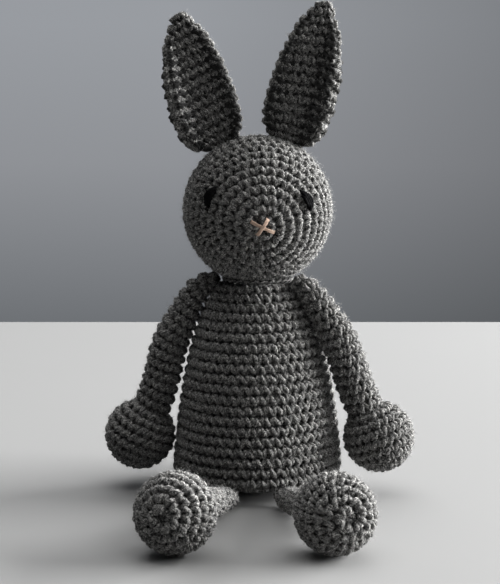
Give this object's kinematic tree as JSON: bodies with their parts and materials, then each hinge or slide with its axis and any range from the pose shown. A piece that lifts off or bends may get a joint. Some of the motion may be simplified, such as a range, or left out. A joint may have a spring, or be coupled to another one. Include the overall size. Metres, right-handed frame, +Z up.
{
  "type": "stuffed bunny",
  "caption": "Sitting crocheted bunny with a round head, tall cupped ears, a bell-shaped body, and floppy arms and legs that end in balls.",
  "frame": {"origin": "middle of the base's resting patch, on the surface that the toy sits on", "axes": "+Z up along the body's axis; the face looks along -Y; +X is the side of the toy's left arm, on the right as it is seen from the front"},
  "size_m": [0.1462, 0.157, 0.2227],
  "materials": {
    "grey_yarn": "matte",
    "stuffing": "matte",
    "eye_yarn": "matte",
    "nose_yarn": "matte"
  },
  "bodies": {
    "torso": {"body_shell": "grey_yarn", "body_stuffing": "stuffing"},
    "neck": {"neck_seam": "grey_yarn"},
    "head": {"head_shell": "grey_yarn", "head_stuffing": "stuffing", "left_eye": "eye_yarn", "right_eye": "eye_yarn", "nose_under": "nose_yarn", "nose_over": "nose_yarn"},
    "left_arm_root": {"left_arm_knot": "grey_yarn"},
    "left_arm": {"left_arm_shell": "grey_yarn", "left_arm_stuffing": "stuffing"},
    "left_leg_root": {"left_leg_knot": "grey_yarn"},
    "left_leg": {"left_leg_shell": "grey_yarn", "left_leg_stuffing": "stuffing"},
    "left_ear_root": {"left_ear_knot": "grey_yarn"},
    "left_ear": {"left_ear": "grey_yarn"},
    "right_arm_root": {"right_arm_knot": "grey_yarn"},
    "right_arm": {"right_arm_shell": "grey_yarn", "right_arm_stuffing": "stuffing"},
    "right_leg_root": {"right_leg_knot": "grey_yarn"},
    "right_leg": {"right_leg_shell": "grey_yarn", "right_leg_stuffing": "stuffing"},
    "right_ear_root": {"right_ear_knot": "grey_yarn"},
    "right_ear": {"right_ear": "grey_yarn"}
  },
  "joints": [
    {"name": "neck_turn", "type": "hinge", "parent": "torso", "child": "neck", "pos_m": [0, 0, 0.13005], "axis": [0, 0, 1], "range_deg": [-45, 45], "stiffness_Nm_per_rad": 0.02},
    {"name": "neck_nod", "type": "hinge", "parent": "neck", "child": "head", "pos_m": [0, 0, 0.13005], "axis": [1, 0, 0], "range_deg": [-20, 20], "stiffness_Nm_per_rad": 0.05},
    {"name": "left_arm_swing", "type": "hinge", "parent": "torso", "child": "left_arm_root", "pos_m": [-0.02697, 0, 0.094], "axis": [-1, 0, 0], "range_deg": [-45, 120]},
    {"name": "left_arm_spread", "type": "hinge", "parent": "left_arm_root", "child": "left_arm", "pos_m": [-0.02697, 0, 0.094], "axis": [0, 1, 0], "range_deg": [0, 75]},
    {"name": "right_arm_swing", "type": "hinge", "parent": "torso", "child": "right_arm_root", "pos_m": [0.02381, -0.01266, 0.094], "axis": [-0.8829, 0.4695, 0], "range_deg": [-33, 132]},
    {"name": "right_arm_spread", "type": "hinge", "parent": "right_arm_root", "child": "right_arm", "pos_m": [0.02381, -0.01266, 0.094], "axis": [-0.4695, -0.8829, 0], "range_deg": [0, 75]},
    {"name": "left_leg_splay", "type": "hinge", "parent": "torso", "child": "left_leg_root", "pos_m": [-0.01376, -0.04088, 0.005], "axis": [0, 0, -1], "range_deg": [-8.5, 30], "stiffness_Nm_per_rad": 0.004},
    {"name": "left_leg_lift", "type": "hinge", "parent": "left_leg_root", "child": "left_leg", "pos_m": [-0.01376, -0.04088, 0.005], "axis": [-0.9478, 0.319, 0], "range_deg": [0, 60]},
    {"name": "right_leg_splay", "type": "hinge", "parent": "torso", "child": "right_leg_root", "pos_m": [0.01261, -0.04125, 0.005], "axis": [0, 0, 1], "range_deg": [-7, 30], "stiffness_Nm_per_rad": 0.004},
    {"name": "right_leg_lift", "type": "hinge", "parent": "right_leg_root", "child": "right_leg", "pos_m": [0.01261, -0.04125, 0.005], "axis": [-0.9563, -0.2924, 0], "range_deg": [0, 60]},
    {"name": "left_ear_lean", "type": "hinge", "parent": "head", "child": "left_ear_root", "pos_m": [-0.0186, 0, 0.16704], "axis": [0, -1, 0], "range_deg": [-6, 20], "stiffness_Nm_per_rad": 0.01},
    {"name": "left_ear_bend", "type": "hinge", "parent": "left_ear_root", "child": "left_ear", "pos_m": [-0.0186, 0, 0.16704], "axis": [0.9636, 0, 0.2672], "range_deg": [-45, 75], "stiffness_Nm_per_rad": 0.01},
    {"name": "right_ear_lean", "type": "hinge", "parent": "head", "child": "right_ear_root", "pos_m": [0.0148, 0, 0.16872], "axis": [0, 1, 0], "range_deg": [-6, 20], "stiffness_Nm_per_rad": 0.01},
    {"name": "right_ear_bend", "type": "hinge", "parent": "right_ear_root", "child": "right_ear", "pos_m": [0.0148, 0, 0.16872], "axis": [0.9636, 0, -0.2672], "range_deg": [-45, 75], "stiffness_Nm_per_rad": 0.01}
  ]
}
